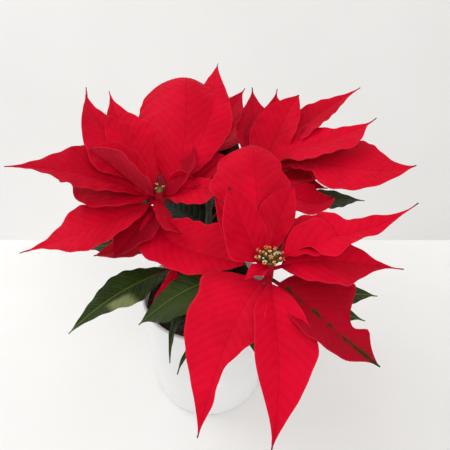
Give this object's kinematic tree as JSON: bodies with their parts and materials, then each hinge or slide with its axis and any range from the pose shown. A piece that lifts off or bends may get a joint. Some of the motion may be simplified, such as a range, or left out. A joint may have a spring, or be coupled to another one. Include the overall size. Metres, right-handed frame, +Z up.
{
  "type": "poinsettia",
  "caption": "Potted poinsettia: heads of pointed red bracts around small flower clusters, over dark green leaves, growing from soil in a round white pot.",
  "frame": {"origin": "centre of the pot's flat foot, on the surface it stands on", "axes": "+Z up; -Y towards the viewer of the picture; +X to the viewer's right"},
  "size_m": [0.3482, 0.3717, 0.3243],
  "materials": {
    "pot": "smooth white glaze",
    "soil": "dark potting soil, rough",
    "trunk": "thin brown bark",
    "leaves": "satin dark green leaf with paler veins",
    "bracts": "velvety red bract with fine veins",
    "flowers": "green cups with cream and yellow tops"
  },
  "bodies": {
    "root": {"pot": "pot", "soil": "soil", "trunk": "trunk", "leafy_stem_front": "leaves", "leafy_stem_left": "leaves", "leafy_stem_right": "leaves", "leafy_stem_back": "leaves", "red_head_front": "bracts", "red_head_left": "bracts", "red_head_right": "bracts", "red_head_back": "bracts", "flowers_front": "flowers", "flowers_left": "flowers", "flowers_right": "flowers", "flowers_back": "flowers"}
  },
  "joints": []
}
